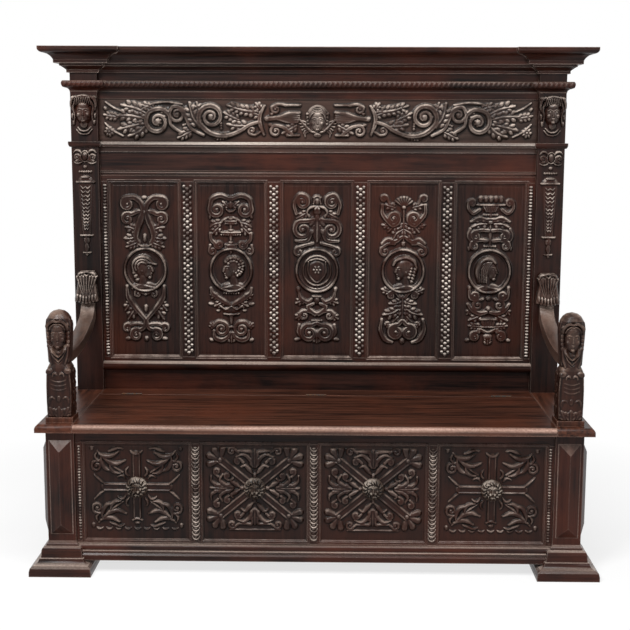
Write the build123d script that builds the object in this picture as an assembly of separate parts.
from build123d import *
import math
import os

os.makedirs("parts", exist_ok=True)

# Carved oak box settle: lift-up lid over a chest, open arms on term figures, panelled back, cornice.
# Millimetres, +X right seen from the front, +Y to the back, +Z up, origin on the floor under the middle.

# Overall
DEPTH = 589.0
POST_CENTRE = 773.0
SEAT_HEIGHT = 470.0
TOTAL_HEIGHT = 1617.0

# Posts and feet
FRONT_POST_WIDTH = 86.0
FRONT_POST_DEPTH = 86.0
BACK_POST_WIDTH = 90.0
BACK_POST_DEPTH = 56.0
FOOT_HEIGHT = 100.0
FOOT_REACH = 52.0
FOOT_TAIL = 30.0
JEWEL_HEIGHT = 18.0
JEWEL_RIDGE = 0.5
JEWEL_MARGIN = 8.0
JEWEL_BOTTOM = 20.0
JEWEL_TOP = 28.0

# Box under the seat
BOX_SETBACK = 10.0
BOX_FRAME = 26.0
BOX_GROUND = 41.0
BOX_BOTTOM_RAIL = 57.0
BOX_TOP_RAIL = 39.0
BOX_EDGE_STILE = 24.5
BOX_MUNTIN_WIDTH = 37.0
BOX_BEAD_WIDTH = 26.0
EDGE_BEAD_WIDTH = 13.0
BEAD_HEIGHT = 7.0
PLINTH_REACH = 22.0
PLINTH_HEIGHT = 51.0
SIDE_INSET = 10.0
FLOOR_THICKNESS = 12.0
BACK_BOARD = 14.0
BACK_BOARD_LIFT = 60.0
BOSS_RADIUS = 32.0
BOSS_HEIGHT = 30.0
BOSS_LIFT = 14.0
BAND_WIDTH = 23.0
BAND_RISE = 5.0
BAND_MARGIN = 22.0

# Seat and lid
LID_THICKNESS = 25.0
SEAT_OVERHANG = 27.5
STRIP_DEPTH = 89.5
LID_GAP = 1.0
LID_REST_GAP = 0.3
HINGE_GAP = 3.0
BATTEN_WIDTH = 46.0
BATTEN_HEIGHT = 22.0
BATTEN_SETBACK = 80.0
BATTEN_REAR = 26.0
BATTEN_SPACING = 480.0
BEARER_WIDTH = 26.0
BEARER_HEIGHT = 40.0

# Hinges
HINGE_LENGTH = 68.0
HINGE_SPACING = 620.0
HINGE_KNUCKLES = 3
LEAF_HEIGHT = 20.0
LEAF_THICKNESS = 1.4
KNUCKLE_RADIUS = 3.2
PIN_RADIUS = 1.5
AXIS_LIFT = 2.0
HINGE_PLAY = 0.3

# Arms and term figures
HERM_PLINTH_WIDTH = 83.0
HERM_PLINTH_HEIGHT = 17.0
HERM_WIDTH = 79.0
HERM_DEPTH = 78.0
HERM_BLOCK_HEIGHT = 156.0
HERM_HEAD_HEIGHT = 170.0
ARM_WIDTH = 46.0
ARM_THICKNESS = 33.0
ARM_FRONT_RISE = 205.0
ARM_REAR_RISE = 410.0
ARM_BRACKET = 15.0
LEAF_WIDTH = 84.0
LEAF_LENGTH = 112.0
LEAF_CURL = 30.0

# Back frame
FRAME_SETBACK = 20.0
BACK_FRAME = 28.0
BACK_EDGE_STILE = 29.2
BACK_MUNTIN_WIDTH = 57.4
BACK_BEAD_WIDTH = 34.0
BACK_BOTTOM_RAIL = 113.0
BACK_TOP_RAIL = 132.0
THUMB_LIFT = 68.0
THUMB_HEIGHT = 30.0
THUMB_REACH = 25.0
SCRATCH_LIFT = 20.0
SCRATCH_HEIGHT = 16.0
SCRATCH_DEPTH = 3.0
MEDALLION_WIDTH = 152.0
MEDALLION_HEIGHT = 158.0
MEDALLION_BAND = 13.0
MEDALLION_RISE = 9.0

# Carving in its main forms
CARVING_RISE = 6.0
FRIEZE_CARVING_RISE = 8.0
STEM_WIDTH = 11.0
LEAF_SPREAD = 0.5
SCROLL_HOLE = 0.5

# Panels, shared by the box and the back
PANEL_THICKNESS = 12.0
PANEL_SINK = 8.0
GROOVE = 8.0
GROOVE_PLAY = 1.0
MOULDING_WIDTH = 13.0
MOULDING_LIP = 4.0
MOULDING_PROUD = 3.0
TENON_LENGTH = 30.0
TENON_THICKNESS = 10.0
TENON_SHOULDER = 9.0

# Frieze and cornice
FRIEZE_HEIGHT = 141.0
HEADER_HEIGHT = 22.0
FRIEZE_SINK = 5.0
FRIEZE_MOULDING_HEIGHT = 34.0
FRIEZE_MOULDING_REACH = 20.0
LEDGE_HEIGHT = 18.0
LEDGE_REACH = 9.0
ROPE_HEIGHT = 36.0
ROPE_REACH = 24.0
FASCIA_HEIGHT = 26.0
CORNICE_HEIGHT = 81.0
CORNICE_REACH = 85.5
TOP_BOARD = 12.0
CHERUB_WIDTH = 130.0
CHERUB_REACH = 38.0

# Carved figures on the pilasters
MASK_WIDTH = 78.0
MASK_REACH = 30.0
MASK_DROP = 6.0
MASK_LIFT = 15.0
PENDANT_TOP = 58.0
PENDANT_WAIST = 33.0
PENDANT_THICKNESS = 9.0
BALUSTER_WIDTH = 20.0
BAR_WIDTH = 40.0

# Shares of the free run of the pilaster between the arm and the ledge
PENDANT_DROP_SHARE = 0.283
PENDANT_SHARE = 0.414
BALUSTER_SHARE = 0.14
DROP_SHARE = 0.044
ROSETTE_SHARE = 0.058
BAR_SHARE = 0.017

# Facets of the rounded carvings
BALL_SIDES = 8
BALL_RINGS = 5
SMALL_SIDES = 6
SMALL_RINGS = 3
OVAL_SIDES = 16
SCROLL_SIDES = 8
SCROLL_EYE_SIDES = 4
ROD_SIDES = 8

# Depth positions
REAR = DEPTH / 2
POST_FRONT = FOOT_REACH - DEPTH / 2
POST_BACK = POST_FRONT + FRONT_POST_DEPTH
BOX_FRONT = POST_FRONT + BOX_SETBACK
BOX_REAR = BOX_FRONT + BOX_FRAME
PILASTER_FRONT = REAR - BACK_POST_DEPTH
FRAME_FRONT = PILASTER_FRONT + FRAME_SETBACK
FRAME_REAR = FRAME_FRONT + BACK_FRAME
SEAT_FRONT = POST_FRONT - SEAT_OVERHANG
STRIP_FRONT = FRAME_FRONT - STRIP_DEPTH
LID_BACK = STRIP_FRONT - HINGE_GAP
AXIS_Y = LID_BACK + HINGE_GAP / 2
AXIS_Z = SEAT_HEIGHT + AXIS_LIFT

# Width positions
FRONT_INNER = POST_CENTRE - FRONT_POST_WIDTH / 2
FRONT_OUTER = POST_CENTRE + FRONT_POST_WIDTH / 2
BACK_INNER = POST_CENTRE - BACK_POST_WIDTH / 2
BACK_OUTER = POST_CENTRE + BACK_POST_WIDTH / 2
LID_END = FRONT_INNER - LID_GAP
SIDE_OUTER = FRONT_OUTER - SIDE_INSET
SIDE_INNER = SIDE_OUTER - BOX_FRAME
BOX_PANEL_WIDTH = (2 * FRONT_INNER - 3 * BOX_MUNTIN_WIDTH - 2 * BOX_EDGE_STILE) / 4
BOX_PITCH = BOX_PANEL_WIDTH + BOX_MUNTIN_WIDTH
BOX_PANEL_CENTRES = [BOX_PITCH * (i - 1.5) for i in range(4)]
BOX_MUNTIN_CENTRES = [BOX_PITCH * (i - 1) for i in range(3)]
BOX_PANEL_EDGE = 2 * BOX_PITCH - BOX_MUNTIN_WIDTH / 2
BACK_PANEL_WIDTH = (2 * BACK_INNER - 4 * BACK_MUNTIN_WIDTH - 2 * BACK_EDGE_STILE) / 5
BACK_PITCH = BACK_PANEL_WIDTH + BACK_MUNTIN_WIDTH
BACK_PANEL_CENTRES = [BACK_PITCH * (i - 2) for i in range(5)]
BACK_MUNTIN_CENTRES = [BACK_PITCH * (i - 1.5) for i in range(4)]
BACK_PANEL_EDGE = 2.5 * BACK_PITCH - BACK_MUNTIN_WIDTH / 2

# Heights
SEAT_UNDER = SEAT_HEIGHT - LID_THICKNESS
BOX_PANEL_BOTTOM = BOX_GROUND + BOX_BOTTOM_RAIL
BOX_PANEL_TOP = SEAT_UNDER - BOX_TOP_RAIL
CORNICE_BOTTOM = TOTAL_HEIGHT - CORNICE_HEIGHT
ROPE_FOOT = CORNICE_BOTTOM - FASCIA_HEIGHT - ROPE_HEIGHT
FRIEZE_TOP = ROPE_FOOT - HEADER_HEIGHT
FRIEZE_BOTTOM = FRIEZE_TOP - FRIEZE_HEIGHT
BACK_PANEL_TOP = FRIEZE_BOTTOM - BACK_TOP_RAIL
BACK_PANEL_BOTTOM = SEAT_HEIGHT + BACK_BOTTOM_RAIL
POST_TOP = TOTAL_HEIGHT - TOP_BOARD
LEDGE_FOOT = FRIEZE_BOTTOM - LEDGE_HEIGHT
ARM_TOP = SEAT_HEIGHT + ARM_REAR_RISE
PENDANT_RUN = LEDGE_FOOT - ARM_TOP
MASK_TOP = ROPE_FOOT - MASK_DROP
MASK_HEIGHT = MASK_TOP - FRIEZE_BOTTOM - MASK_LIFT
HERM_FOOT = SEAT_HEIGHT + HERM_PLINTH_HEIGHT
HERM_FRONT = POST_FRONT + (HERM_PLINTH_WIDTH - HERM_WIDTH) / 2
HERM_BACK = HERM_FRONT + HERM_DEPTH

# Moulding shapes as (reach, height) shares; a pair of points is an arc through the first to the second
FOOT_SHAPE = [(1, 0), (1, 0.14), (0.95, 0.25), (0.8, 0.32), (0.72, 0.32), ((0.56, 0.39), (0.48, 0.5)),
              (0.4, 0.5), (0.37, 0.62), (0.37, 0.72), (0.31, 0.8), (0.18, 0.84), (0.12, 0.84),
              (0.12, 0.9), (0.03, 0.94), (0, 1)]
PLINTH_SHAPE = [(1, 0), (1, 0.32), (0.8, 0.43), (0.8, 0.46), ((0.95, 0.52), (0.8, 0.58)),
                (0.66, 0.6), ((0.6, 0.8), (0.3, 0.92)), (0.2, 0.92), (0.2, 1)]
EDGE_SHAPE = [(1, 0), (1, 0.36), ((0.9, 0.76), (0.61, 1))]
THUMB_SHAPE = [(0.5, 0), ((0.9, 0.25), (1, 0.62)), (1, 0.8), (0.7, 0.93), (0.3, 1)]
FRIEZE_SHAPE = [(0.3, 0), ((0.42, 0.35), (0.75, 0.53)), (0.82, 0.53), (0.82, 0.74), (1, 0.74), (1, 1)]
LEDGE_SHAPE = [(0.4, 0), ((0.85, 0.3), (1, 0.6)), (1, 1)]
ROPE_SHAPE = [(0.02, 0), ((0.2, 0.26), (0.54, 0.36)), ((1, 0.7), (0.85, 1))]
CORNICE_SHAPE = [(0.1, 0), (0.1, 0.11), ((0.17, 0.17), (0.29, 0.26)), (0.32, 0.26), (0.32, 0.36),
                 (0.51, 0.36), (0.51, 0.49), ((0.62, 0.65), (0.81, 0.75)), (0.84, 0.75),
                 ((0.95, 0.8), (1, 0.89)), (1, 1)]


def block(x0, x1, y0, y1, z0, z1):
    """Box between two corners."""
    return Pos((x0 + x1) / 2, (y0 + y1) / 2, (z0 + z1) / 2) * Box(x1 - x0, y1 - y0, z1 - z0)


def outline(path):
    """Closed face; a pair of points in the path is an arc through the first to the second."""
    edges = []
    last = path[0]
    for step in path[1:] + path[:1]:
        if isinstance(step[0], tuple):
            edges.append(ThreePointArc(last, step[0], step[1]))
            last = step[1]
        elif step != last:
            edges.append(Line(last, step))
            last = step
    return make_face(edges)


def along_x(face, x0, x1):
    """Extrude a face drawn in (Y, Z) from x0 to x1."""
    return extrude(Plane.YZ.offset(x0) * face, x1 - x0)


def along_y(face, y0, y1):
    """Extrude a face drawn in (X, Z) from y1 forward to y0."""
    plane = Plane(origin=(0, y1, 0), x_dir=(1, 0, 0), z_dir=(0, -1, 0))
    return extrude(plane * face, y1 - y0)


def along_z(face, z0, z1):
    """Extrude a face drawn in (X, Y) from z0 to z1."""
    return extrude(Plane.XY.offset(z0) * face, z1 - z0)


def edge_face(shape, reach, height, foot, face, outward, inner):
    """Face between a moulding shape, standing out from `face`, and the line at `inner`."""
    def place(point):
        return (face + outward * reach * point[0], foot + height * point[1])

    path = [(inner, foot)]
    for step in shape:
        path.append((place(step[0]), place(step[1])) if isinstance(step[0], tuple) else place(step))
    return outline(path + [(inner, foot + height)])


def moulded_block(x0, x1, front, back, foot, height, shape, reach, left=True, right=True):
    """Block with a mitred moulding on its front and, where asked, its left and right sides."""
    plain = [(0, 0), (0, 1)]
    middle = (x0 + x1) / 2
    left_face = edge_face(shape if left else plain, reach, height, foot, x0, -1, middle)
    right_face = edge_face(shape if right else plain, reach, height, foot, x1, 1, middle)
    wide = along_y(left_face, front - reach, back) + along_y(right_face, front - reach, back)
    deep = along_x(edge_face(shape, reach, height, foot, front, -1, back), x0 - reach, x1 + reach)
    return wide & deep


def mirrored(solid):
    return mirror(solid, about=Plane.YZ)


def pair(solid):
    return [solid, mirrored(solid)]


def ball(x, y, z, width, depth, height, sides=BALL_SIDES, rings=BALL_RINGS):
    """Egg-shaped solid round a point, in flat facets, with its poles to the front and the back."""
    levels = [math.pi * i / rings for i in range(rings + 1)]
    turns = [2 * math.pi * i / sides for i in range(sides)]

    def at(level, turn):
        spread = math.sin(level) / 2
        return (x + width * spread * math.cos(turn), y - depth / 2 * math.cos(level),
                z + height * spread * math.sin(turn))

    faces = []
    for near, far in zip(levels, levels[1:]):
        for turn, following in zip(turns, turns[1:] + turns[:1]):
            corners = [at(near, turn), at(near, following), at(far, following), at(far, turn)]
            if near == levels[0]:
                corners = corners[1:]
            if far == levels[-1]:
                corners = corners[:3]
            faces.append(Face(Wire.make_polygon(corners)))
    return Solid(Shell(faces))


def small_ball(*sizes):
    """Ball with fewer facets."""
    return ball(*sizes, sides=SMALL_SIDES, rings=SMALL_RINGS)


def oval(width, height):
    """Face with a many-sided oval outline."""
    turns = [2 * math.pi * i / OVAL_SIDES for i in range(OVAL_SIDES)]
    points = [(width / 2 * math.cos(turn), height / 2 * math.sin(turn)) for turn in turns]
    return make_face(Polyline(*points, close=True))


def tenon_x(x0, x1, y0, y1, z0, z1, play=0.0):
    """Through box that makes the two end tenons of a rail, or their mortises when given play."""
    middle = (y0 + y1) / 2
    half = TENON_THICKNESS / 2
    far = TENON_LENGTH + play
    return block(x0 - far, x1 + far, middle - half, middle + half, z0 + TENON_SHOULDER, z1 - TENON_SHOULDER)


def tenon_y(x0, x1, y0, y1, z0, z1, play=0.0):
    """As tenon_x, for a rail that runs front to back."""
    middle = (x0 + x1) / 2
    half = TENON_THICKNESS / 2
    far = TENON_LENGTH / 2 + play
    return block(middle - half, middle + half, y0 - far, y1 + far, z0 + TENON_SHOULDER, z1 - TENON_SHOULDER)


def panel_moulding(centre, width, bottom, top, face):
    """Four mitred strips that fill the rim of a panel opening and slope down to the panel."""
    plane = Plane(origin=(centre, face + PANEL_SINK, (bottom + top) / 2), x_dir=(1, 0, 0), z_dir=(0, -1, 0))
    rise = PANEL_SINK + MOULDING_PROUD
    x = width / 2
    z = (top - bottom) / 2
    sight_x = x - MOULDING_WIDTH
    sight_z = z - MOULDING_WIDTH
    slope = math.degrees(math.atan2(MOULDING_WIDTH - MOULDING_LIP, rise))
    mouth = extrude(plane * Rectangle(2 * sight_x, 2 * sight_z), rise, taper=-slope)
    outer = [(-x, -z), (x, -z), (x, z), (-x, z)]
    inner = [(-sight_x, -sight_z), (sight_x, -sight_z), (sight_x, sight_z), (-sight_x, sight_z)]
    strips = []
    for side in range(4):
        following = (side + 1) % 4
        corners = [outer[side], outer[following], inner[following], inner[side]]
        strips.append(extrude(plane * make_face(Polyline(*corners, close=True)), rise) - mouth)
    return strips


def jewel(plane, width, length):
    """Long faceted boss with hipped ends, standing on a plane whose local y runs up the post."""
    ridge = Rectangle(2 * JEWEL_RIDGE, length - width + 2 * JEWEL_RIDGE)
    return loft([plane * Rectangle(width, length), plane.offset(JEWEL_HEIGHT) * ridge], ruled=True)


def strap(path):
    """Flat band of even width along a path of points."""
    left = []
    right = []
    for index, (x, y) in enumerate(path):
        x0, y0 = path[max(index - 1, 0)]
        x1, y1 = path[min(index + 1, len(path) - 1)]
        share = STEM_WIDTH / 2 / math.hypot(x1 - x0, y1 - y0)
        left.append((x + share * (y0 - y1), y + share * (x1 - x0)))
        right.append((x - share * (y0 - y1), y - share * (x1 - x0)))
    return make_face(Polyline(*left, *reversed(right), close=True))


def pointed_leaf(x0, y0, x1, y1):
    """Leaf from its foot to its tip, widest near the foot."""
    along = (x1 - x0, y1 - y0)
    across = (-LEAF_SPREAD * along[1] / 2, LEAF_SPREAD * along[0] / 2)

    def at(share, side):
        return (x0 + share * along[0] + side * across[0], y0 + share * along[1] + side * across[1])

    return make_face(Polyline(at(0, 0), at(0.4, 1), at(1, 0), at(0.4, -1), close=True))


def volute(x, y, radius):
    """Open ring of a scroll."""
    hole = RegularPolygon(SCROLL_HOLE * radius, SCROLL_EYE_SIDES)
    return Pos(x, y) * (RegularPolygon(radius, SCROLL_SIDES) - hole)


def carving(plane, rise, volutes, stems, leaves):
    """Raised scrollwork, drawn for the right half of a plane and repeated on the left."""
    forms = [volute(*each) for each in volutes]
    forms += [strap(each) for each in stems]
    forms += [pointed_leaf(*each) for each in leaves]
    half = Sketch() + forms
    return extrude(plane * (half + mirror(half, about=Plane.YZ)), rise)


nodes = {}

# Rails of the box, and the grooves for its panels
box_groove = (BOX_FRONT + PANEL_SINK, BOX_FRONT + PANEL_SINK + PANEL_THICKNESS)
top_rail_box = (-FRONT_INNER, FRONT_INNER, BOX_FRONT, BOX_REAR, BOX_PANEL_TOP, SEAT_UNDER)
bottom_rail_box = (-FRONT_INNER, FRONT_INNER, BOX_FRONT, BOX_REAR, BOX_GROUND, BOX_PANEL_BOTTOM)
box_slot = block(-FRONT_INNER, FRONT_INNER, *box_groove, BOX_PANEL_BOTTOM - GROOVE, BOX_PANEL_TOP + GROOVE)
nodes["box_top_rail"] = block(*top_rail_box) + tenon_x(*top_rail_box) - box_slot
nodes["box_bottom_rail"] = block(*bottom_rail_box) + tenon_x(*bottom_rail_box) - box_slot

# Panels of the box, with a raised upright cross on the outer two and a raised diagonal cross on the inner two
boss_height = (BOX_PANEL_BOTTOM + BOX_PANEL_TOP) / 2 + BOSS_LIFT
box_middle = (BOX_PANEL_BOTTOM + BOX_PANEL_TOP) / 2
sight_width = BOX_PANEL_WIDTH - 2 * MOULDING_WIDTH - 2 * BAND_MARGIN
sight_height = BOX_PANEL_TOP - BOX_PANEL_BOTTOM - 2 * MOULDING_WIDTH - 2 * BAND_MARGIN


def crossed_bands(centre, diagonal):
    """Two flat bands that cross at the boss and stop short of the panel moulding."""
    plane = Plane(origin=(centre, box_groove[0], boss_height), x_dir=(1, 0, 0), z_dir=(0, -1, 0))
    long = 2 * (sight_width + sight_height)
    first = Rot(0, 0, 45 if diagonal else 0) * Rectangle(long, BAND_WIDTH)
    second = Rot(0, 0, 45 if diagonal else 0) * Rectangle(BAND_WIDTH, long)
    bands = extrude(plane * (first + second - Circle(BOSS_RADIUS)), BAND_RISE)
    sight = block(-sight_width / 2, sight_width / 2, -BAND_RISE, 0, -sight_height / 2, sight_height / 2)
    return bands & Pos(centre, box_groove[0], box_middle) * sight


box_panels = []
for number, centre in enumerate(BOX_PANEL_CENTRES, 1):
    half = BOX_PANEL_WIDTH / 2 + GROOVE - GROOVE_PLAY
    low = BOX_PANEL_BOTTOM - GROOVE
    high = BOX_PANEL_TOP + GROOVE - GROOVE_PLAY
    board = block(centre - half, centre + half, *box_groove, low, high)
    nodes[f"box_panel_{number}"] = board + crossed_bands(centre, number in (2, 3))
    half += GROOVE_PLAY
    box_panels.append(block(centre - half, centre + half, *box_groove, low, high))
nodes["box_panel_mouldings"] = []
for x in BOX_PANEL_CENTRES:
    nodes["box_panel_mouldings"] += panel_moulding(
        x, BOX_PANEL_WIDTH, BOX_PANEL_BOTTOM, BOX_PANEL_TOP, BOX_FRONT)

# Muntins and edge stiles of the box, with stub tenons in the rail grooves
box_stiles = [(x - BOX_MUNTIN_WIDTH / 2, x + BOX_MUNTIN_WIDTH / 2) for x in BOX_MUNTIN_CENTRES]
box_ends = [(-FRONT_INNER, -BOX_PANEL_EDGE), (BOX_PANEL_EDGE, FRONT_INNER)]


def stiles(spans, front, rear, groove, bottom, top, panels):
    made = []
    for x0, x1 in spans:
        solid = block(x0, x1, front, rear, bottom, top)
        solid += block(x0, x1, *groove, bottom - GROOVE, top + GROOVE)
        for panel in panels:
            solid -= panel
        made.append(solid)
    return made


nodes["box_muntins"] = stiles(
    box_stiles, BOX_FRONT, BOX_REAR, box_groove, BOX_PANEL_BOTTOM, BOX_PANEL_TOP, box_panels)
nodes["box_edge_stiles"] = stiles(
    box_ends, BOX_FRONT, BOX_REAR, box_groove, BOX_PANEL_BOTTOM, BOX_PANEL_TOP, box_panels)


def bead_strip(centre, width, front, bottom, top):
    """Half-round strip for a row of carved beads."""
    start = (centre - width / 2, front)
    end = (centre + width / 2, front)
    return along_z(outline([start, end, ((centre, front - BEAD_HEIGHT), start)]), bottom, top)


box_bead_span = (BOX_FRONT, BOX_PANEL_BOTTOM + MOULDING_LIP, BOX_PANEL_TOP - MOULDING_LIP)
box_edge_centre = (BOX_PANEL_EDGE + FRONT_INNER) / 2
nodes["box_bead_strips"] = [bead_strip(x, BOX_BEAD_WIDTH, *box_bead_span) for x in BOX_MUNTIN_CENTRES]
nodes["box_bead_strips"] += pair(bead_strip(box_edge_centre, EDGE_BEAD_WIDTH, *box_bead_span))

# Side frames of the box
side_low_box = (SIDE_INNER, SIDE_OUTER, POST_BACK, PILASTER_FRONT, BOX_GROUND, BOX_PANEL_BOTTOM)
side_top_box = (SIDE_INNER, SIDE_OUTER, POST_BACK, PILASTER_FRONT, BOX_PANEL_TOP, SEAT_UNDER)
side_groove = (SIDE_OUTER - PANEL_SINK - PANEL_THICKNESS, SIDE_OUTER - PANEL_SINK)
side_slot = block(*side_groove, POST_BACK - GROOVE, PILASTER_FRONT + GROOVE,
                  BOX_PANEL_BOTTOM - GROOVE, BOX_PANEL_TOP + GROOVE)
nodes["side_rails"] = (pair(block(*side_low_box) + tenon_y(*side_low_box) - side_slot)
                       + pair(block(*side_top_box) + tenon_y(*side_top_box) - side_slot))
nodes["side_panels"] = pair(block(
    *side_groove, POST_BACK - GROOVE + GROOVE_PLAY, PILASTER_FRONT + GROOVE - GROOVE_PLAY,
    BOX_PANEL_BOTTOM - GROOVE, BOX_PANEL_TOP + GROOVE - GROOVE_PLAY))

# Rails of the back
back_groove = (FRAME_FRONT + PANEL_SINK, FRAME_FRONT + PANEL_SINK + PANEL_THICKNESS)
low_rail_box = (-BACK_INNER, BACK_INNER, FRAME_FRONT, FRAME_REAR, SEAT_UNDER, BACK_PANEL_BOTTOM)
high_rail_box = (-BACK_INNER, BACK_INNER, FRAME_FRONT, FRAME_REAR, BACK_PANEL_TOP, FRIEZE_BOTTOM)
header_box = (-BACK_INNER, BACK_INNER, FRAME_FRONT, FRAME_REAR, FRIEZE_TOP, POST_TOP)
back_slot = block(-BACK_INNER, BACK_INNER, *back_groove, BACK_PANEL_BOTTOM - GROOVE, BACK_PANEL_TOP + GROOVE)
frieze_groove = (FRAME_FRONT + FRIEZE_SINK, FRAME_FRONT + FRIEZE_SINK + PANEL_THICKNESS)
frieze_slot = block(-BACK_INNER, BACK_INNER, *frieze_groove, FRIEZE_BOTTOM - GROOVE, FRIEZE_TOP + GROOVE)
scratch_low = BACK_PANEL_TOP + SCRATCH_LIFT
scratch = block(-BACK_INNER, BACK_INNER, FRAME_FRONT, FRAME_FRONT + SCRATCH_DEPTH,
                scratch_low, scratch_low + SCRATCH_HEIGHT)
scratch_bead = along_x(
    outline([(FRAME_FRONT + SCRATCH_DEPTH, scratch_low + 0.3 * SCRATCH_HEIGHT),
             ((FRAME_FRONT, scratch_low + SCRATCH_HEIGHT / 2),
              (FRAME_FRONT + SCRATCH_DEPTH, scratch_low + 0.7 * SCRATCH_HEIGHT))]), -BACK_INNER, BACK_INNER)
back_top_rail = block(*high_rail_box) + tenon_x(*high_rail_box) - back_slot - frieze_slot
nodes["back_bottom_rail"] = block(*low_rail_box) + tenon_x(*low_rail_box) - back_slot
nodes["back_top_rail"] = back_top_rail - scratch + scratch_bead
nodes["header_rail"] = block(*header_box) + tenon_x(*header_box) - frieze_slot

# Frieze panel with scrolling foliage either side of the winged head
frieze_middle = (FRIEZE_BOTTOM + FRIEZE_TOP) / 2
frieze_plane = Plane(origin=(0, frieze_groove[0], frieze_middle), x_dir=(1, 0, 0), z_dir=(0, -1, 0))
frieze_board = block(-BACK_INNER, BACK_INNER, *frieze_groove,
                     FRIEZE_BOTTOM - GROOVE, FRIEZE_TOP + GROOVE - GROOVE_PLAY)
nodes["frieze_panel"] = frieze_board + carving(
    frieze_plane, FRIEZE_CARVING_RISE,
    volutes=[(354, 8, 40), (466, 16, 27), (532, -8, 42)],
    stems=[[(178, 44), (190, 0), (180, -48)], [(192, -8), (266, -42), (356, -48)]],
    leaves=[(100, 30, 168, 4), (100, -44, 168, -2), (200, 28, 302, 46), (392, -28, 428, 54),
            (560, 14, 652, 46), (566, -14, 630, -54), (592, -16, 664, -34)])

# Scrollwork above and below the medallion of each back panel, from the medallion's middle
LYRE = {
    "volutes": [(57, 223, 18), (34, -222, 17)],
    "stems": [[(5, 200), (26, 140), (16, 86)], [(62, -66), (47, -117), (5, -168)]],
    "leaves": [(24, 112, 70, 142)],
}
CANDELABRUM = {
    "volutes": [(47, 205, 19), (34, -204, 18)],
    "stems": [[(-34, 126), (34, 126)], [(66, -72), (36, -102), (6, -118)]],
    "leaves": [(40, 156, 62, 84)],
}
HALF_FIGURE = {
    "volutes": [(50, 230, 20), (48, 138, 25), (27, -214, 23)],
    "stems": [[(0, 248), (0, 176)], [(32, -118), (0, -146)]],
    "leaves": [(0, 190, 0, 98)],
}
ACANTHUS = {
    "volutes": [(35, 178, 22), (22, -208, 21)],
    "stems": [[(0, 250), (0, 100)], [(0, -90), (0, -176)]],
    "leaves": [(6, 158, 56, 118), (6, -122, 66, -150)],
}
VASE = {
    "volutes": [(50, 100, 19), (48, -84, 15), (44, -222, 14)],
    "stems": [[(-46, 226), (46, 226)], [(70, -114), (40, -140), (4, -138)]],
    "leaves": [(0, 222, 0, 130)],
}
BACK_CARVINGS = [LYRE, CANDELABRUM, HALF_FIGURE, ACANTHUS, VASE]

# Panels of the back, each with scrollwork round a raised oval medallion band that holds a plain bust
back_panels = []
medallion_height = (BACK_PANEL_BOTTOM + BACK_PANEL_TOP) / 2
for number, centre in enumerate(BACK_PANEL_CENTRES, 1):
    half = BACK_PANEL_WIDTH / 2 + GROOVE - GROOVE_PLAY
    low = BACK_PANEL_BOTTOM - GROOVE
    high = BACK_PANEL_TOP + GROOVE - GROOVE_PLAY
    plane = Plane(origin=(centre, back_groove[0], medallion_height), x_dir=(1, 0, 0), z_dir=(0, -1, 0))
    dish = oval(MEDALLION_WIDTH - 2 * MEDALLION_BAND, MEDALLION_HEIGHT - 2 * MEDALLION_BAND)
    band = extrude(plane * (oval(MEDALLION_WIDTH, MEDALLION_HEIGHT) - dish), MEDALLION_RISE)
    board = block(centre - half, centre + half, *back_groove, low, high)
    head = small_ball(centre, back_groove[0], medallion_height + 0.08 * MEDALLION_HEIGHT,
                      0.32 * MEDALLION_WIDTH, 2 * MEDALLION_RISE, 0.42 * MEDALLION_HEIGHT)
    shoulders = small_ball(centre, back_groove[0], medallion_height - 0.27 * MEDALLION_HEIGHT,
                           0.5 * MEDALLION_WIDTH, 1.3 * MEDALLION_RISE, 0.22 * MEDALLION_HEIGHT)
    scrollwork = carving(plane, CARVING_RISE, **BACK_CARVINGS[number - 1])
    nodes[f"back_panel_{number}"] = board + band + head + shoulders + scrollwork
    half += GROOVE_PLAY
    back_panels.append(block(centre - half, centre + half, *back_groove, low, high))
nodes["back_panel_mouldings"] = []
for x in BACK_PANEL_CENTRES:
    nodes["back_panel_mouldings"] += panel_moulding(
        x, BACK_PANEL_WIDTH, BACK_PANEL_BOTTOM, BACK_PANEL_TOP, FRAME_FRONT)
back_stiles = [(x - BACK_MUNTIN_WIDTH / 2, x + BACK_MUNTIN_WIDTH / 2) for x in BACK_MUNTIN_CENTRES]
back_ends = [(-BACK_INNER, -BACK_PANEL_EDGE), (BACK_PANEL_EDGE, BACK_INNER)]
nodes["back_muntins"] = stiles(
    back_stiles, FRAME_FRONT, FRAME_REAR, back_groove, BACK_PANEL_BOTTOM, BACK_PANEL_TOP, back_panels)
nodes["back_edge_stiles"] = stiles(
    back_ends, FRAME_FRONT, FRAME_REAR, back_groove, BACK_PANEL_BOTTOM, BACK_PANEL_TOP, back_panels)
back_bead_span = (FRAME_FRONT, BACK_PANEL_BOTTOM + MOULDING_LIP, BACK_PANEL_TOP - MOULDING_LIP)
back_edge_centre = (BACK_PANEL_EDGE + BACK_INNER) / 2
nodes["back_bead_strips"] = [bead_strip(x, BACK_BEAD_WIDTH, *back_bead_span) for x in BACK_MUNTIN_CENTRES]
nodes["back_bead_strips"] += pair(bead_strip(back_edge_centre, EDGE_BEAD_WIDTH, *back_bead_span))
thumb_foot = SEAT_HEIGHT + THUMB_LIFT
thumb = edge_face(THUMB_SHAPE, THUMB_REACH, THUMB_HEIGHT, thumb_foot, FRAME_FRONT, -1, FRAME_FRONT)
nodes["back_thumb_moulding"] = along_x(thumb, -BACK_INNER, BACK_INNER)

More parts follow.
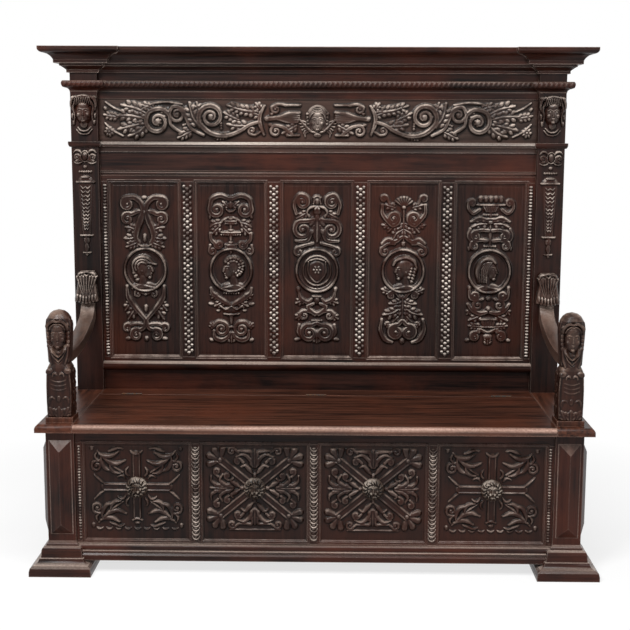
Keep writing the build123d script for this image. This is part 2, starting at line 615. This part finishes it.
# Posts with their mortises, grooves and faceted bosses
front_post_box = (FRONT_INNER, FRONT_OUTER, POST_FRONT, POST_BACK, 0, SEAT_UNDER)
back_post_box = (BACK_INNER, BACK_OUTER, PILASTER_FRONT, REAR, 0, POST_TOP)
front_post = block(*front_post_box) - side_slot
back_post = block(*back_post_box) - side_slot
for rail in (top_rail_box, bottom_rail_box):
    front_post -= tenon_x(*rail, play=GROOVE_PLAY)
for rail in (low_rail_box, high_rail_box, header_box):
    back_post -= tenon_x(*rail, play=GROOVE_PLAY)
for rail in (side_low_box, side_top_box):
    front_post -= tenon_y(*rail, play=GROOVE_PLAY)
    back_post -= tenon_y(*rail, play=GROOVE_PLAY)
nodes["front_post_right"] = front_post
nodes["front_post_left"] = mirrored(front_post)
nodes["back_post_right"] = back_post
nodes["back_post_left"] = mirrored(back_post)
jewel_low = FOOT_HEIGHT + JEWEL_BOTTOM
jewel_high = SEAT_UNDER - JEWEL_TOP
jewel_middle = (jewel_low + jewel_high) / 2
front_jewel = jewel(
    Plane(origin=(POST_CENTRE, POST_FRONT, jewel_middle), x_dir=(1, 0, 0), z_dir=(0, -1, 0)),
    FRONT_POST_WIDTH - 2 * JEWEL_MARGIN, jewel_high - jewel_low)
side_jewel = jewel(
    Plane(origin=(FRONT_OUTER, (POST_FRONT + POST_BACK) / 2, jewel_middle), x_dir=(0, 1, 0), z_dir=(1, 0, 0)),
    FRONT_POST_DEPTH - 2 * JEWEL_MARGIN, jewel_high - jewel_low)
nodes["post_jewels"] = pair(front_jewel) + pair(side_jewel)

# Boards of the box
box_back = block(-BACK_INNER, BACK_INNER, FRAME_REAR - BACK_BOARD, FRAME_REAR, BACK_BOARD_LIFT, SEAT_UNDER)
nodes["box_back_board"] = box_back
floor_top = FOOT_HEIGHT + FLOOR_THICKNESS
floor = block(-SIDE_INNER, SIDE_INNER, BOX_REAR, FRAME_REAR - BACK_BOARD, FOOT_HEIGHT, floor_top)
for post in (front_post_box, back_post_box):
    for solid in pair(block(*post)):
        floor -= solid
nodes["box_floor"] = floor

# Moulded feet wrapped round the posts and notched over the rails
foot_run = (0, FOOT_HEIGHT, FOOT_SHAPE, FOOT_REACH)
front_foot = moulded_block(FRONT_INNER, FRONT_OUTER, POST_FRONT, POST_BACK + FOOT_TAIL, *foot_run)
back_foot = moulded_block(BACK_INNER, BACK_OUTER, PILASTER_FRONT, REAR, *foot_run, left=False)
whole_feet = [front_foot, back_foot]
front_wall = block(-FRONT_INNER, FRONT_INNER, BOX_FRONT, BOX_REAR, BOX_GROUND, SEAT_UNDER)
side_wall = block(SIDE_INNER, SIDE_OUTER, POST_BACK, PILASTER_FRONT, BOX_GROUND, SEAT_UNDER)
front_foot = front_foot - block(*front_post_box) - front_wall - side_wall
back_foot = back_foot - block(*back_post_box) - side_wall - box_back
nodes["front_feet"] = pair(front_foot)
nodes["rear_feet"] = pair(back_foot)
plinth = edge_face(PLINTH_SHAPE, PLINTH_REACH, PLINTH_HEIGHT, BOX_GROUND, BOX_FRONT, -1, BOX_FRONT)
plinth_front = along_x(plinth, -FRONT_INNER, FRONT_INNER)
plinth_side = along_y(
    edge_face(PLINTH_SHAPE, PLINTH_REACH, PLINTH_HEIGHT, BOX_GROUND, SIDE_OUTER, 1, SIDE_OUTER),
    POST_BACK, PILASTER_FRONT)
for foot in whole_feet:
    plinth_front -= foot
    plinth_front -= mirrored(foot)
    plinth_side -= foot
nodes["plinth_mouldings"] = [plinth_front] + pair(plinth_side)

# Seat: fixed strip, its bearer, the end caps and the lid
nodes["seat_strip"] = block(-BACK_INNER, BACK_INNER, STRIP_FRONT, FRAME_FRONT, SEAT_UNDER, SEAT_HEIGHT)
bearer_front = STRIP_FRONT + BEARER_WIDTH
nodes["seat_bearer"] = block(-SIDE_INNER, SIDE_INNER, bearer_front, bearer_front + BEARER_WIDTH,
                             SEAT_UNDER - BEARER_HEIGHT, SEAT_UNDER)
cap = moulded_block(FRONT_INNER, FRONT_OUTER, POST_FRONT, REAR, SEAT_UNDER, LID_THICKNESS,
                    EDGE_SHAPE, SEAT_OVERHANG, left=False)
cap -= block(*back_post_box)
cap -= block(0, BACK_OUTER, FRAME_FRONT, REAR, SEAT_UNDER, SEAT_HEIGHT)
nodes["seat_cap_right"] = cap
nodes["seat_cap_left"] = mirrored(cap)
lid_under = SEAT_UNDER + LID_REST_GAP
lid_edge = edge_face(EDGE_SHAPE, SEAT_OVERHANG, SEAT_HEIGHT - lid_under, lid_under, POST_FRONT, -1, LID_BACK)
lid = along_x(lid_edge, -LID_END, LID_END)
nodes["lid_battens"] = [
    block(x - BATTEN_WIDTH / 2, x + BATTEN_WIDTH / 2, SEAT_FRONT + BATTEN_SETBACK, LID_BACK - BATTEN_REAR,
          lid_under - BATTEN_HEIGHT, lid_under)
    for x in (-BATTEN_SPACING, 0, BATTEN_SPACING)
]

# Butt hinges with the knuckle standing at the lid's rear joint
hinge_pins = []
fixed_leaves = []
lid_leaves = []
knuckle = HINGE_LENGTH / HINGE_KNUCKLES


def rod(x, radius, length, bore=False):
    """Many-sided rod on the hinge axis, drawn within the radius, or around it for a bore."""
    section = RegularPolygon(radius, ROD_SIDES, major_radius=not bore)
    return along_x(Pos(AXIS_Y, AXIS_Z) * section, x - length / 2, x + length / 2)


clear = KNUCKLE_RADIUS + HINGE_PLAY
leaf_low = SEAT_HEIGHT - LEAF_HEIGHT
leaf_high = AXIS_Z - clear
fixed_plate = (STRIP_FRONT - LEAF_THICKNESS, STRIP_FRONT)
lid_plate = (LID_BACK, LID_BACK + LEAF_THICKNESS)
for middle in (-HINGE_SPACING, 0, HINGE_SPACING):
    start = middle - HINGE_LENGTH / 2
    fixed = block(start, start + HINGE_LENGTH, *fixed_plate, leaf_low, leaf_high)
    moving = block(start, start + HINGE_LENGTH, *lid_plate, leaf_low, leaf_high)
    for index in range(HINGE_KNUCKLES):
        centre = start + knuckle * (index + 0.5)
        half = (knuckle - HINGE_PLAY) / 2
        ring = rod(centre, KNUCKLE_RADIUS, 2 * half)
        if index % 2 == 0:
            fixed += block(centre - half, centre + half, *fixed_plate, leaf_high, AXIS_Z) + ring
        else:
            moving += block(centre - half, centre + half, *lid_plate, leaf_high, AXIS_Z) + ring
    fixed_leaves.append(fixed - rod(middle, PIN_RADIUS, 2 * HINGE_LENGTH))
    lid_leaves.append(moving - rod(middle, PIN_RADIUS + HINGE_PLAY, 2 * HINGE_LENGTH, bore=True))
    hinge_pins.append(rod(middle, PIN_RADIUS, HINGE_LENGTH))
    notch = block(start - HINGE_PLAY, start + HINGE_LENGTH + HINGE_PLAY, AXIS_Y - clear, AXIS_Y + clear,
                  AXIS_Z - clear, SEAT_HEIGHT)
    lid -= notch
    nodes["seat_strip"] -= notch
nodes["lid"] = lid
nodes["hinge_fixed_leaves"] = fixed_leaves
nodes["hinge_lid_leaves"] = lid_leaves
nodes["hinge_pins"] = hinge_pins

# Term figures on their plinths: a block body, a hooded head with a plain face
to_post = Pos(POST_CENTRE, 0, 0)
plinth_half = HERM_PLINTH_WIDTH / 2
plinth_back = POST_FRONT + HERM_PLINTH_WIDTH
herm_plinth = block(-plinth_half, plinth_half, POST_FRONT, plinth_back, SEAT_HEIGHT, HERM_FOOT)
nodes["herm_plinths"] = pair(to_post * herm_plinth)
half = HERM_WIDTH / 2
shoulder = HERM_FOOT + HERM_BLOCK_HEIGHT


def up(share):
    """Height at a share of the head above the figure's shoulder."""
    return shoulder + share * HERM_HEAD_HEIGHT


def back(share):
    """Depth at a share of the figure's thickness behind its front."""
    return HERM_FRONT + share * HERM_DEPTH


herm_half_view = outline([
    (0, HERM_FOOT), (half, HERM_FOOT), (half, up(-0.1)), ((0.96 * half, up(-0.03)), (0.82 * half, shoulder)),
    (0.86 * half, up(0.15)), (half, up(0.62)), ((0.78 * half, up(0.9)), (0.2 * half, up(1))), (0, up(1))])
herm_side_view = outline([
    (HERM_BACK, HERM_FOOT), (HERM_FRONT, HERM_FOOT), (HERM_FRONT, up(-0.1)),
    ((back(0.04), up(-0.03)), (back(0.12), shoulder)), (back(0.1), up(0.2)), (HERM_FRONT, up(0.6)),
    ((back(0.1), up(0.9)), (back(0.4), up(1))), (back(0.6), up(1)),
    ((back(0.9), up(0.9)), (HERM_BACK, up(0.6)))])
herm_half = along_y(herm_half_view, HERM_FRONT, HERM_BACK)
herm = (herm_half + mirrored(herm_half)) & along_x(herm_side_view, -half, half)
head_round = Pos(0, back(0.5)) * RectangleRounded(1.01 * HERM_WIDTH, 1.01 * HERM_DEPTH, 0.42 * HERM_DEPTH)
head_space = block(-HERM_WIDTH, HERM_WIDTH, back(-1), back(2), shoulder, up(1.1))
herm -= head_space - along_z(head_round, shoulder, up(1.1))
hood_mouth = Plane(origin=(0, HERM_FRONT, up(0.58)), x_dir=(1, 0, 0), z_dir=(0, 1, 0))
herm -= extrude(hood_mouth * Ellipse(0.6 * half, 0.3 * HERM_HEAD_HEIGHT), 0.16 * HERM_DEPTH)
herm += ball(0, back(0.22), up(0.58), 1.1 * half, 0.36 * HERM_DEPTH, 0.54 * HERM_HEAD_HEIGHT)
herm += small_ball(0, back(0.07), up(0.57), 0.2 * half, 0.1 * HERM_DEPTH, 0.16 * HERM_HEAD_HEIGHT)
nodes["herm_right"] = to_post * herm
nodes["herm_left"] = mirrored(nodes["herm_right"])

# Open arms: a bracket against the pilaster that sweeps forward into the figure's back
arm_front_top = SEAT_HEIGHT + ARM_FRONT_RISE
leaf_foot = ARM_TOP - LEAF_LENGTH
run = PILASTER_FRONT - HERM_BACK
bend = PILASTER_FRONT - ARM_BRACKET


def sweep_point(forward, climb, drop=0.0):
    """Point on the arm at a share of its run before the bracket and of its climb to the leaf."""
    return (bend - forward * run, arm_front_top + climb * (leaf_foot - arm_front_top) - drop)


arm_side = outline([
    (bend, leaf_foot), (sweep_point(0.035, 0.74), sweep_point(0.14, 0.49)),
    (sweep_point(0.4, 0.16), (HERM_BACK, arm_front_top)), (HERM_BACK, arm_front_top - ARM_THICKNESS),
    (sweep_point(0.42, 0.15, ARM_THICKNESS), sweep_point(0.12, 0.46, ARM_THICKNESS)),
    (PILASTER_FRONT, sweep_point(0, 0.78, ARM_THICKNESS)[1]), (PILASTER_FRONT, ARM_TOP), (bend, ARM_TOP)])
nodes["arm_right"] = to_post * along_x(arm_side, -ARM_WIDTH / 2, ARM_WIDTH / 2)
nodes["arm_left"] = mirrored(nodes["arm_right"])

# Leaf that ends each arm, narrow at its foot, spreading and curling forward at the top
leaf_half = LEAF_WIDTH / 2


def leaf_at(share):
    """Height at a share of the leaf's length above its foot."""
    return leaf_foot + share * LEAF_LENGTH


leaf_view = outline([
    (0, leaf_foot), (0.3 * leaf_half, leaf_foot),
    ((0.66 * leaf_half, leaf_at(0.3)), (0.8 * leaf_half, leaf_at(0.6))),
    ((leaf_half, leaf_at(0.8)), (0.94 * leaf_half, ARM_TOP)), (0, ARM_TOP)])
leaf_side = outline([
    (bend, leaf_foot), (bend, ARM_TOP), (bend - 0.55 * LEAF_CURL, ARM_TOP),
    ((bend - LEAF_CURL, leaf_at(0.88)), (bend - 0.6 * LEAF_CURL, leaf_at(0.78))),
    ((bend - 0.3 * LEAF_CURL, leaf_at(0.55)), (bend - 0.12 * LEAF_CURL, leaf_foot))])
leaf_side_half = along_y(leaf_view, bend - LEAF_CURL, bend)
leaf = (leaf_side_half + mirrored(leaf_side_half)) & along_x(leaf_side, -leaf_half, leaf_half)
nodes["arm_leaves"] = pair(to_post * leaf)

# Mouldings over the back: frieze moulding, pilaster ledges, rope moulding, cornice, top board
frieze_face = edge_face(FRIEZE_SHAPE, FRIEZE_MOULDING_REACH, FRIEZE_MOULDING_HEIGHT,
                        FRIEZE_BOTTOM - FRIEZE_MOULDING_HEIGHT, FRAME_FRONT, -1, FRAME_FRONT)
frieze_run = along_x(frieze_face, -BACK_INNER, BACK_INNER)
solid_post = block(*back_post_box)


def wrap(foot, height, shape, reach):
    """Moulding round the front and both sides of a pilaster, above the back frame."""
    run = moulded_block(BACK_INNER, BACK_OUTER, PILASTER_FRONT, REAR, foot, height, shape, reach)
    return run - solid_post - block(0, BACK_INNER, FRAME_FRONT, REAR, foot, foot + height)


ledge = wrap(LEDGE_FOOT, LEDGE_HEIGHT, LEDGE_SHAPE, LEDGE_REACH) - frieze_run
nodes["frieze_mouldings"] = [frieze_run] + pair(ledge)
rope_end = wrap(ROPE_FOOT, ROPE_HEIGHT, ROPE_SHAPE, ROPE_REACH)
rope_face = edge_face(ROPE_SHAPE, ROPE_REACH, ROPE_HEIGHT, ROPE_FOOT, FRAME_FRONT, -1, FRAME_FRONT)
rope_middle = along_x(rope_face, -BACK_INNER, BACK_INNER)
for end in pair(rope_end):
    rope_middle -= end
nodes["rope_mouldings"] = [rope_middle] + pair(rope_end)
top_board = block(-BACK_OUTER, BACK_OUTER, FRAME_FRONT, REAR, POST_TOP, TOTAL_HEIGHT)
nodes["top_board"] = top_board
cornice_end = wrap(CORNICE_BOTTOM, CORNICE_HEIGHT, CORNICE_SHAPE, CORNICE_REACH) - top_board
cornice_face = edge_face(CORNICE_SHAPE, CORNICE_REACH, CORNICE_HEIGHT, CORNICE_BOTTOM,
                         FRAME_FRONT, -1, FRAME_FRONT)
cornice_middle = along_x(cornice_face, -BACK_INNER, BACK_INNER)
for end in pair(cornice_end):
    cornice_middle -= end
nodes["cornice_centre"] = cornice_middle
nodes["cornice_ends"] = pair(cornice_end)

# Carved heads in their main forms: pilaster masks, the winged head on the frieze, lion bosses on the box
half = MASK_WIDTH / 2


def below(share):
    """Height at a share of the mask below its top."""
    return MASK_TOP - share * MASK_HEIGHT


def ahead(share):
    """Depth at a share of the mask's reach before the pilaster."""
    return PILASTER_FRONT - share * MASK_REACH


mask = ball(0, ahead(0.35), below(0.36), 0.66 * MASK_WIDTH, 1.3 * MASK_REACH, 0.62 * MASK_HEIGHT)
mask += block(-half, half, ahead(0.55), REAR, below(0.16), MASK_TOP)
mask += block(-half, half, ahead(0.25), REAR, below(0.62), below(0.1))
mask += ball(0, PILASTER_FRONT, below(0.74), 0.9 * MASK_WIDTH, 0.9 * MASK_REACH, 0.5 * MASK_HEIGHT)
mask += small_ball(0, ahead(0.97), below(0.37), 0.12 * MASK_WIDTH, 0.3 * MASK_REACH, 0.2 * MASK_HEIGHT)
nodes["pilaster_masks"] = pair(to_post * mask - solid_post)

frieze_front = frieze_groove[0]
cherub = ball(0, -0.4 * CHERUB_REACH, 0.06 * FRIEZE_HEIGHT,
              0.46 * CHERUB_WIDTH, 1.2 * CHERUB_REACH, 0.55 * FRIEZE_HEIGHT)
cherub += ball(0, -0.2 * CHERUB_REACH, 0.16 * FRIEZE_HEIGHT,
               0.66 * CHERUB_WIDTH, CHERUB_REACH, 0.54 * FRIEZE_HEIGHT)
wing = ball(0, 0, 0, 0.62 * CHERUB_WIDTH, 0.8 * CHERUB_REACH, 0.33 * FRIEZE_HEIGHT)
for side in (-1, 1):
    cherub += Pos(side * 0.36 * CHERUB_WIDTH, 0, -0.16 * FRIEZE_HEIGHT) * Rot(0, side * 40, 0) * wing
cherub &= block(-CHERUB_WIDTH, CHERUB_WIDTH, -2 * CHERUB_REACH, 0,
                -0.48 * FRIEZE_HEIGHT, 0.48 * FRIEZE_HEIGHT)
nodes["frieze_cherub"] = Pos(0, frieze_front, frieze_middle) * cherub

boss_plane = Plane(origin=(0, 0, 0), x_dir=(1, 0, 0), z_dir=(0, -1, 0))
boss = extrude(boss_plane * oval(2 * BOSS_RADIUS, 2 * BOSS_RADIUS), 0.3 * BOSS_HEIGHT)
boss += ball(0, -0.3 * BOSS_HEIGHT, 0, 1.4 * BOSS_RADIUS, BOSS_HEIGHT, 1.5 * BOSS_RADIUS)
boss += small_ball(0, -0.66 * BOSS_HEIGHT, -0.26 * BOSS_RADIUS,
                   0.74 * BOSS_RADIUS, 0.66 * BOSS_HEIGHT, 0.62 * BOSS_RADIUS)
for side in (-1, 1):
    boss += small_ball(side * 0.6 * BOSS_RADIUS, -0.3 * BOSS_HEIGHT, 0.6 * BOSS_RADIUS,
                       0.36 * BOSS_RADIUS, 0.5 * BOSS_HEIGHT, 0.4 * BOSS_RADIUS)
boss &= block(-2 * BOSS_RADIUS, 2 * BOSS_RADIUS, -2 * BOSS_HEIGHT, 0, -2 * BOSS_RADIUS, 2 * BOSS_RADIUS)
nodes["lion_bosses"] = [Pos(x, box_groove[0], boss_height) * boss for x in BOX_PANEL_CENTRES]

# Pendant on each pilaster: rosette, two bars, tapering term, baluster and drop
pendant_top = LEDGE_FOOT - PENDANT_DROP_SHARE * PENDANT_RUN
waist_height = pendant_top - PENDANT_SHARE * PENDANT_RUN
baluster_foot = waist_height - BALUSTER_SHARE * PENDANT_RUN
bar_height = BAR_SHARE * PENDANT_RUN
rosette_radius = ROSETTE_SHARE * PENDANT_RUN
pendant_front = PILASTER_FRONT - PENDANT_THICKNESS
term_half = along_y(outline([
    (0, pendant_top), (PENDANT_TOP / 2, pendant_top), (PENDANT_WAIST / 2, waist_height),
    (BALUSTER_WIDTH / 2, waist_height - bar_height), (BALUSTER_WIDTH / 2, baluster_foot),
    (0, baluster_foot - DROP_SHARE * PENDANT_RUN)]), pendant_front, PILASTER_FRONT)
pieces = [term_half + mirrored(term_half)]
bars = ((0.5, PENDANT_TOP + bar_height), (3, BAR_WIDTH / 2), (5.5, BAR_WIDTH))
for lift, width in bars:
    low = pendant_top + (lift - 0.5) * bar_height
    pieces.append(block(-width / 2, width / 2, pendant_front, PILASTER_FRONT, low, low + bar_height))
rosette_plane = Plane(origin=(0, PILASTER_FRONT, LEDGE_FOOT - 1.15 * rosette_radius),
                      x_dir=(1, 0, 0), z_dir=(0, -1, 0))
rosette = oval(2 * rosette_radius, 2 * rosette_radius)
pieces.append(extrude(rosette_plane * rosette, PENDANT_THICKNESS))
nodes["pilaster_pendants"] = []
for piece in pieces:
    nodes["pilaster_pendants"] += pair(to_post * piece)

for name, made in nodes.items():
    solids = []
    for shape in made if isinstance(made, list) else [made]:
        solids += shape.solids()
    export_step(solids[0] if len(solids) == 1 else Compound(solids), f"parts/{name}.step")
